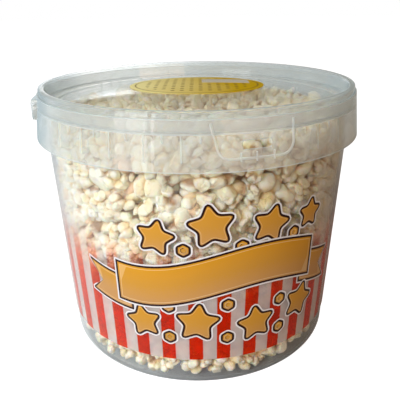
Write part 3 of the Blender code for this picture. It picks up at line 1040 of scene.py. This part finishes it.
def film_finish():
    made, start, place = new_finish("printed_film")
    z = place.along("Z")
    turn = start.math("ARCTAN2", place.along("X"), 0 - place.along("Y")) * (180 / math.pi)
    waver = (place.grain(420.0, 2.0) - 0.5) * 0.03
    share = start.math("FRACT", (turn - STRIPE_START + 100 * STRIPE_PITCH) / STRIPE_PITCH)
    red = (start.math("ABSOLUTE", share - 0.25) + waver).eased(0.262, 0.238)
    red = start.math("MAXIMUM", red, (share + waver).eased(0.988, 1.012))
    across, up = turn * MM_PER_DEGREE, z * 1000
    first, second = (start.math("SINE", slant * SCREEN) for slant in (across + up, across - up))
    screen = 0.5 + 0.5 * first * second
    fade = z.eased(FADE_TOP, FADE_FOOT) ** 1.2
    dots = ((fade * 1.2 - screen) * 3.0 + 0.5).held()
    printed = (dots * (fade * 6).held() * 0.55 + fade * 0.45).held()
    mottle = place.grain(90.0, 3.0)

    def ink(colour, filter_colour, cover):
        seen = start.node("BsdfTransparent", {}, {"Color": filter_colour})
        return mixed(start, cover, seen, glowing(start, colour, 0.45))

    clear = start.node("BsdfTransparent", {}, {"Color": (0.99, 0.99, 0.99, 1)})
    red_ink = ink((0.84, 0.052, 0.001, 1), (0.99, 0.31, 0.03, 1), 0.14 + 0.44 * mottle)
    white_ink = ink((0.86, 0.83, 0.85, 1), (1, 1, 1, 1), 0.86)
    reds = mixed(start, printed, clear, red_ink)
    whites = mixed(start, printed * (0.36 + 0.26 * mottle), clear, white_ink)
    body = mixed(start, red, whites, reds)
    away = start.node("LayerWeight", {}, {"Blend": 0.5}, out="Facing")
    gloss = (0.003 + 0.26 * away**2 + 0.5 * away**5).held()
    bump = place.grain(40.0, 2.0).bump(0.15, 0.001)
    return surfaced(made, mixed(start, gloss, body, mirror(start, 0.16, bump)))


film_inside = [(wall_radius(z) + GAP, z, 0) for z in (FILM_TOP, FILM_FOOT)]
film_outside = [(wall_radius(z) + GAP + FILM, z, 0) for z in (FILM_FOOT, FILM_TOP)]
film = piece_from("film_sleeve", turned(softened(film_inside + film_outside)), film_finish())
fit(film, "printed_film", "film")


# --- Printed ribbon and stars --------------------------------------------------------------------
# The film's decoration: a waving gold ribbon with swallow tails, with rows of gold stars and dots
# above and below it, each with a dark outline and a pale edge. Opaque inks laid over the stripes.

PRINT_R = 106 * MM
OUTLINE = 1.5 * MM
HALO = 1.1 * MM
LINE_AT = (-1.55 * MM, -1.15 * MM)
BANDS = (*LINE_AT, 0.0, OUTLINE, OUTLINE + HALO)
# Where things lie from the print's middle, in mm: a star's or dot's place, size and lean
STARS = [
    (-40, 116, 12.5, 0.2), (-6, 124, 15.0, -0.15), (32, 121, 13.5, 0.25), (64, 121, 10.5, 0.1),
    (-52, 52, 13.0, -0.2), (-15, 54, 15.5, 0.1), (25, 49, 14.0, -0.1), (62, 55, 14.0, 0.3),
]
DOTS = [(-23, 108), (13, 109), (50, 111), (-34, 66), (5, 67), (43, 63), (-34, 42), (5, 41), (44, 40)]
DOT_SIZE = 3.6
RIGHT_OF_MIDDLE = 14 * MM
RIBBON_Z = 87 * MM
RIBBON_HALVES = (68 * MM, 13.5 * MM)
RIBBON_LIFT = 0.20 * MM
TAIL_Z = 79 * MM
TAIL_OUT = 76 * MM
TAIL_HALVES = (16 * MM, 11 * MM)
TAIL_SHADE = 0.35
UNDER_LIFT = 0.08 * MM
NOTCH = 9 * MM
WAVE_RISE = 7.5 * MM
WAVE_SHIFT = 12 * MM
WAVE_LENGTH = 27 * MM


def on_film(x, z, lift):
    """A spot on the outside of the film, x metres round from the front."""
    return around(wall_radius(z) + GAP + FILM + lift, x / PRINT_R, z)


class Print:
    """Flat shapes laid on the film, with each point's distance past its shape's edge and its rise."""

    def __init__(self):
        self.bm = bmesh.new()
        self.past = self.bm.verts.layers.float.new("past")
        self.rise = self.bm.verts.layers.float.new("rise")

    def spot(self, x, z, lift, past, rise):
        v = self.bm.verts.new(on_film(x, z, lift))
        v[self.past] = past
        v[self.rise] = rise
        return v

    def medal(self, x, z, radius, points, depth, lean, lift=0.10 * MM):
        """A rounded star or rosette: rings out from its middle, past its edge to the outline and halo."""
        count = points * 16
        edge = []
        for n in range(count):
            t = math.tau * n / count + lean
            corner, share = divmod(n / 8, 1)
            ends = []
            for k in (corner, corner + 1):
                size = radius * (1 - depth * (k % 2))
                turn = math.pi * k / points + lean
                ends.append(Vector((math.sin(turn), math.cos(turn))) * size)
            edge.append(ends[0].lerp(ends[1], share))
        for _ in range(5):
            edge = [(edge[n - 1] + 2 * edge[n] + edge[(n + 1) % count]) / 4 for n in range(count)]
        rings = [[(spot * share, -radius * (1 - share)) for spot in edge] for share in (0.3, 0.6)]
        for past in BANDS:
            ring = []
            for n, spot in enumerate(edge):
                along = (edge[(n + 1) % count] - edge[n - 1]).normalized()
                out = Vector((-along.y, along.x)) if past > 0 else spot / radius
                ring.append((spot + out * past, past))
            rings.append(ring)
        rows = [[self.spot(x, z, lift, -radius, 0.5)] * count]
        for ring in rings:
            places = [(x + p.x, z + p.y, lift, past, 0.5 + 0.5 * p.y / radius) for p, past in ring]
            rows.append([self.spot(*place) for place in places])
        stitch(self.bm, rows)

    def band(self, x, z, half, height, wave, lift, notch=(0, 0), shade=0.0):
        """A strip of ribbon that follows wave(x), with an optional swallow-tail notch at either end."""
        inner = [half + past for past in BANDS]
        columns = [-u for u in reversed(inner)]
        steps = max(3, int(half / (2.5 * MM)))
        columns += [(half + BANDS[0]) * (2 * n / steps - 1) for n in range(1, steps)]
        columns += inner
        edges = [height + past for past in BANDS]
        across = [-v for v in reversed(edges)] + [0.0] + edges
        rows = []
        for u in columns:
            row = []
            for v in across:
                past = max(abs(u) - half, abs(v) - height)
                pull = (1 - min(abs(v) / height, 1)) * max(0, (abs(u) - half * 0.3) / (half * 0.7))
                px = x + u - math.copysign(pull, u) * notch[u > 0]
                rise = 0.5 + 0.5 * v / height - shade
                row.append(self.spot(px, z + wave(px) + v, lift, past, rise))
            rows.append(row)
        stitch(self.bm, rows, closed=False)

    def finished(self, name, finish):
        bmesh.ops.recalc_face_normals(self.bm, faces=self.bm.faces)
        outward = sum(f.normal.dot(f.calc_center_median()) for f in self.bm.faces)
        if outward < 0:
            bmesh.ops.reverse_faces(self.bm, faces=self.bm.faces)
        fit(piece_from(name, self.bm, finish, sharp=math.pi), "printed_film", "film")


def gold_ink():
    made, start, place = new_finish("gold_print")
    past, rise = (start.node("Attribute", {"attribute_name": name}, out="Fac") for name in ("past", "rise"))
    grain = place.grain(700.0, 2.0)
    stops = [(0.0, (0.50, 0.27, 0.10)), (0.5, (0.54, 0.27, 0.04)), (1.0, (0.60, 0.28, 0.014))]
    gold = (rise + (grain - 0.5) * 0.25).held().ramp(stops)
    low, high = LINE_AT
    line = past.eased(low - 0.1 * MM, low + 0.1 * MM) * past.eased(high + 0.1 * MM, high)
    lined = blended(start, line * 0.45, gold, (0.86, 0.72, 0.45, 1))
    dark = start.math("GREATER_THAN", past, 0.00001)
    outlined = blended(start, dark, lined, (0.022, 0.006, 0.006, 1))
    pale = start.math("GREATER_THAN", past, OUTLINE + 0.00001)
    haloed = blended(start, pale, outlined, (0.70, 0.70, 0.74, 1))
    surface = start.node("BsdfPrincipled", {}, {
        "Base Color": haloed,
        "Roughness": 0.36 + 0.1 * grain,
        "Specular IOR Level": 0.2,
    })
    return surfaced(made, surface)


gold_print = gold_ink()
ribbon, stars = Print(), Print()
for turned_by in (0.0, math.pi * PRINT_R):
    middle = turned_by + RIGHT_OF_MIDDLE

    def wave(x, middle=middle):
        return WAVE_RISE * math.sin((x - middle + WAVE_SHIFT) / WAVE_LENGTH)

    for side, notch in ((-1, (NOTCH, 0)), (1, (0, NOTCH))):
        ribbon.band(middle + side * TAIL_OUT, TAIL_Z, *TAIL_HALVES, wave, UNDER_LIFT, notch, TAIL_SHADE)
    ribbon.band(middle, RIBBON_Z, *RIBBON_HALVES, wave, RIBBON_LIFT)
    for x, z, radius, lean in STARS:
        stars.medal(middle + x * MM, z * MM, radius * MM, 5, 0.50, lean)
    for x, z in DOTS:
        stars.medal(middle + x * MM, z * MM, DOT_SIZE * MM, 6, 0.12, 0.0)
ribbon.finished("print_ribbon", gold_print)
stars.finished("print_stars", gold_print)


# --- Lid -----------------------------------------------------------------------------------------
# A separate clear polypropylene moulding: a dished panel hung inside the tub's mouth by a plug wall,
# a flat rim over the seat, and a skirt that snaps down between the seat and the collar.

LID_SKIRT = 1.2 * MM
LID_TOP = 1.3 * MM
PLUG_R = 109.0 * MM
PLUG_WALL = 1.05 * MM
PANEL_R = 105.4 * MM
PANEL_TOP = HEIGHT - 13.5 * MM
PANEL = 1.2 * MM
CROWN = 5.3 * MM
SKIRT_FOOT = HEIGHT - 11.1 * MM


def panel_top(radius):
    """Top of the panel, which is crowned."""
    return PANEL_TOP + CROWN * (1 - (radius / PANEL_R) ** 2)


def lid_profile():
    panel_foot = PANEL_TOP - PANEL
    ceiling = HEIGHT - LID_TOP
    crown = [(PANEL_R * n / 24, panel_top(PANEL_R * n / 24), 0) for n in range(24)]
    return softened([
        *[(radius, z - PANEL, 0) for radius, z, _ in crown],
        (PANEL_R + PLUG_WALL, panel_foot, 1.0 * MM),
        (PLUG_R + PLUG_WALL, ceiling, 0.6 * MM),
        (LID_R - LID_SKIRT, ceiling, 0.5 * MM),
        (LID_R - LID_SKIRT, SKIRT_FOOT, 0.3 * MM),
        (LID_R, SKIRT_FOOT, 0.4 * MM),
        (LID_R, HEIGHT, 1.1 * MM),
        (PLUG_R, HEIGHT, 0.9 * MM),
        (PANEL_R, PANEL_TOP, 1.6 * MM),
        *crown[::-1],
    ], steps=6)


rim_plastic = clear_plastic("lid_rim_plastic", 0.12, 0.30, 0.06, (0.78, 0.86, 0.90, 1))
panel_plastic = clear_plastic("lid_panel_plastic", 0.03, 0.0, 0.04)
lid = piece_from("lid_shell", turned(lid_profile()), rim_plastic, panel_plastic)
for face in lid.data.polygons:
    face.material_index = int(face.center.xy.length < PANEL_R - 1.5 * MM)
fit(lid, "lid_plastic", "lid")


# --- Lid sticker ---------------------------------------------------------------------------------
# A round yellow paper seal stuck on the lid towards its back edge, printed with a fine ring, rows of
# small dots and a pale field of thin rules. Its yellow pales towards its left, a painted reflection of
# the bright window on that side.

STICKER_R = 54.0 * MM
STICKER_BACK = 38.0 * MM
STICKER = 0.2 * MM
RING_R = 49.5 * MM
DOT_GAP = (7.0 * MM, 9.0 * MM)
RULE_GAP = 4.8 * MM


def sticker_finish():
    made, start, place = new_finish("yellow_paper")
    x = place.along("X")
    y = place.along("Y") - STICKER_BACK
    out = start.math("SQRT", x * x + y * y)
    fibre = place.grain(900.0, 4.0)
    sheet = place.grain(26.0, 2.0)
    # Painted reflection: the yellow pales towards the left, where the paper would mirror the window; the
    # fibre and sheet mottling are the paper's own.
    tone = (0.62 + x * 14 + (sheet - 0.5) * 0.4 + (fibre - 0.5) * 0.2).held()
    yellow = blended(start, tone, (0.67, 0.62, 0.30, 1), (0.44, 0.295, 0.002, 1))
    ring = start.math("COMPARE", out, RING_R, 0.5 * MM)
    row = start.math("PINGPONG", x + 0.2, DOT_GAP[0] / 2)
    line = start.math("PINGPONG", y + 0.2, DOT_GAP[1] / 2)
    spot = start.math("SQRT", row * row + line * line).eased(0.0019, 0.0014)
    dotted = spot * out.eased(0.044, 0.043)
    marked = start.math("MAXIMUM", ring, dotted)
    inked = blended(start, marked * 0.9, yellow, (0.09, 0.055, 0.02, 1))
    columns = x.eased(0.004, 0.0045) * x.eased(0.0435, 0.043)
    field = columns * y.eased(0.002, 0.0025) * y.eased(0.0285, 0.028)
    patched = blended(start, field * 0.9, inked, (0.60, 0.59, 0.54, 1))
    rule = field * start.math("PINGPONG", y + 0.2, RULE_GAP / 2).eased(0.0011, 0.0008)
    ruled = blended(start, rule * 0.8, patched, (0.10, 0.09, 0.08, 1))
    paper = start.node("BsdfPrincipled", {}, {
        "Base Color": ruled,
        "Roughness": 0.5 + 0.15 * fibre,
        "Specular IOR Level": 0.02,
        "Normal": sheet.bump(0.25, 0.001),
    })
    glow = start.node("BsdfTranslucent", {}, {"Color": (0.55, 0.38, 0.004, 1)})
    return surfaced(made, mixed(start, 0.15, paper, glow))


rings = [STICKER_R * share for share in (0, 0.2, 0.4, 0.6, 0.75, 0.88)]
seal_edge = [(STICKER_R, z, 0.05 * MM) for z in (0, STICKER)]
seal_profile = [(r, 0, 0) for r in rings] + seal_edge + [(r, STICKER, 0) for r in rings[::-1]]
bm = turned(softened(seal_profile), segments=144)
for v in bm.verts:
    v.co.y += STICKER_BACK
    v.co.z += panel_top(v.co.xy.length) + GAP
sticker = piece_from("lid_seal", bm, sticker_finish())
sticker.visible_shadow = False
fit(sticker, "sticker_paper", "lid_sticker")


# --- Studio --------------------------------------------------------------------------------------
# A pale floor and backdrop, lit by a wide, cool window at the front left, with a brighter room
# behind and to the left and a dim, warm one on the right. The plastic mirrors and shows this room,
# while past the pail there is only the plain white of the backdrop.

# Stops of the room's tones: its walls from the left and behind to the right, what is above the
# backdrop's edge, and the floor under the pail from left to right, painted light on the left and
# painted shade on the right, as it shows through the plastic
WALLS = [
    (0.0, (0.44, 0.53, 0.58)), (0.022, (0.60, 0.67, 0.71)), (0.045, (1.0, 1.0, 1.0)),
    (0.10, (0.78, 0.82, 0.83)), (0.24, (0.45, 0.48, 0.49)), (0.36, (0.50, 0.49, 0.46)),
    (0.46, (0.36, 0.34, 0.30)), (0.62, (0.32, 0.25, 0.17)), (0.95, (0.20, 0.14, 0.09)),
]
ABOVE = [
    (0.0, (0.52, 0.53, 0.50)), (0.40, (0.31, 0.29, 0.235)),
    (0.60, (0.24, 0.20, 0.15)), (1.0, (0.12, 0.08, 0.05)),
]
PAINTED_UNDER_FLOOR = [
    (0.0, (1.0, 1.0, 1.0)), (0.25, (0.95, 1.0, 1.0)), (0.42, (0.88, 0.90, 0.95)),
    (0.485, (0.21, 0.19, 0.25)), (0.61, (0.12, 0.10, 0.105)),
    (0.75, (0.165, 0.135, 0.11)), (1.0, (0.18, 0.14, 0.11)),
]


def room_tone(start, toward):
    """The room round the pail: bright and cool behind and to the left, dim and warm on the right, and
    dim again over the top edge of the pale backdrop."""
    side, deep, level = (toward.along(axis) for axis in "XYZ")
    tone = 0.5 + 0.42 * side - 0.36 * deep
    beside = 0.12 * deep.eased(0.7, 0.1) * side.eased(0.0, -0.6)
    wall = (tone.held() + beside).ramp(WALLS)
    above = (0.5 + 0.5 * side).held().ramp(ABOVE)
    edge = 0.080 + 0.083 * side.eased(0.12, -0.06) + 0.07 * side.eased(0.16, 0.28)
    over = (level - edge).eased(-0.004, 0.004) * deep.eased(0.2, 0.5)
    behind = 1 + 0.85 * tone.eased(0.17, 0.06) * side.eased(-0.45, -0.2)
    lifted = start.node("VectorMath", {"operation": "SCALE"}, {0: wall, "Scale": behind})
    return blended(start, over, lifted, above)


def seen_directly(start):
    """1 for what the camera sees past the pail, 0 for what shows through its plastic or lights it."""
    camera_ray = start.node("LightPath", out="Is Camera Ray")
    crossed = start.node("LightPath", out="Transparent Depth")
    return camera_ray * (1 - crossed).held()


floor_bm = bmesh.new()
bmesh.ops.create_circle(floor_bm, cap_ends=True, radius=6.0, segments=64)
floor = piece_from("floor", floor_bm)
floor_finish, start, place = new_finish("pale_floor")
out = start.node("VectorMath", {"operation": "LENGTH"}, {0: place}, out="Value")
toward = start.node("VectorMath", {"operation": "NORMALIZE"}, {0: place})
# Painted light and shade: near the pail, the floor seen through the plastic mostly glows, bright on the left
# and dark on the right, instead of being lit.
under = (0.5 + 2.5 * place.along("X")).held().ramp(PAINTED_UNDER_FLOOR)
paper = start.node("BsdfDiffuse", {}, {"Color": (0.22, 0.21, 0.22, 1)})
painted_near_floor = mixed(start, 0.75, paper, start.node("Emission", {}, {"Color": under}))
bright = start.node("Emission", {}, {"Color": (1, 1, 1, 1)})
backdrop = start.node("AddShader", {}, {0: paper, 1: bright})
distant = start.node("Emission", {}, {"Color": room_tone(start, toward)})
lamplight = start.node("LightPath", out="Is Diffuse Ray")
nearby = mixed(start, lamplight, painted_near_floor, paper)
room = mixed(start, out.eased(0.25, 0.8) * (1 - lamplight), nearby, distant)
floor.data.materials.append(surfaced(floor_finish, mixed(start, seen_directly(start), room, backdrop)))
floor.location.z = -0.2 * MM

world = bpy.data.worlds.new("room")
bpy.context.scene.world = world
world.use_nodes = True
world.node_tree.nodes.clear()
start = Wire(world.node_tree)
toward = start.node("TexCoord", out="Generated")
strength = 0.82 + 0.28 * toward.along("Z").eased(0.0, 0.9)
dim = start.node("Background", {}, {"Color": room_tone(start, toward), "Strength": strength})
white = start.node("Background", {}, {"Color": (1, 1, 1, 1)})
start.node("OutputWorld", {}, {"Surface": mixed(start, seen_directly(start), dim, white)})


def panel_light(name, place, target, width, height, power, colour):
    data = bpy.data.lights.new(name, "AREA")
    data.shape = "RECTANGLE"
    data.size, data.size_y = width, height
    data.energy = power
    data.color = colour
    made = set_down(name, data)
    made.location = place
    made.rotation_euler = (Vector(target) - Vector(place)).to_track_quat("-Z", "Y").to_euler()
    return made


MIDDLE = (0, 0, 0.09)
TOP_EDGE = (0, 0, 0.18)
WINDOW_LIGHT = (0.97, 0.99, 1.0)
for name, angle, width, power in (
    ("window_wide", -42, 0.24, 0.75),
    ("window_left", -31.2, 0.035, 0.14),
    ("window_right", -26.4, 0.03, 0.12),
):
    pane = around(0.75, math.radians(angle), 0.25)
    panel_light(name, pane, (0, 0, 0.25), width, 0.5, power, WINDOW_LIGHT)
for name, place, target, width, height, power, colour in (
    ("sky", around(0.9, math.radians(-40), 0.76), MIDDLE, 0.9, 0.8, 7.6, (0.92, 0.97, 1.0)),
    ("soft_front", around(1.0, math.radians(-30), 0.54), MIDDLE, 0.6, 0.5, 4.9, (1.0, 0.99, 0.95)),
    ("soft_left", around(0.9, math.radians(-88), 0.24), MIDDLE, 0.8, 0.4, 0.3, (0.88, 0.96, 1.0)),
    ("soft_top", (-0.1, -0.1, 1.2), MIDDLE, 0.9, 0.9, 3.0, (1.0, 0.98, 0.92)),
    ("back_sky", around(0.8, math.radians(-140), 0.55), TOP_EDGE, 0.5, 0.4, 2.2, WINDOW_LIGHT),
):
    panel_light(name, place, target, width, height, power, colour).visible_glossy = False
room_fill = around(1.1, math.radians(34), 0.5)
panel_light("room_fill", room_fill, MIDDLE, 0.8, 0.8, 2.3, (1.0, 0.62, 0.33))

camera_data = bpy.data.cameras.new("camera")
camera_data.sensor_width = 36.0
camera_data.lens = 46.755
camera = set_down("camera", camera_data)
camera.matrix_world = Matrix((
    (0.99992, 0.01293, 0.00058, 0.0017),
    (-0.00422, 0.36846, -0.92963, -0.38928),
    (-0.01223, 0.92955, 0.36849, 0.25289),
    (0, 0, 0, 1),
))
bpy.context.scene.camera = camera
bpy.context.scene.view_settings.view_transform = "Standard"
bpy.context.scene.cycles.transparent_max_bounces = 48
bpy.context.scene.cycles.max_bounces = 20
bpy.context.scene.cycles.diffuse_bounces = 8
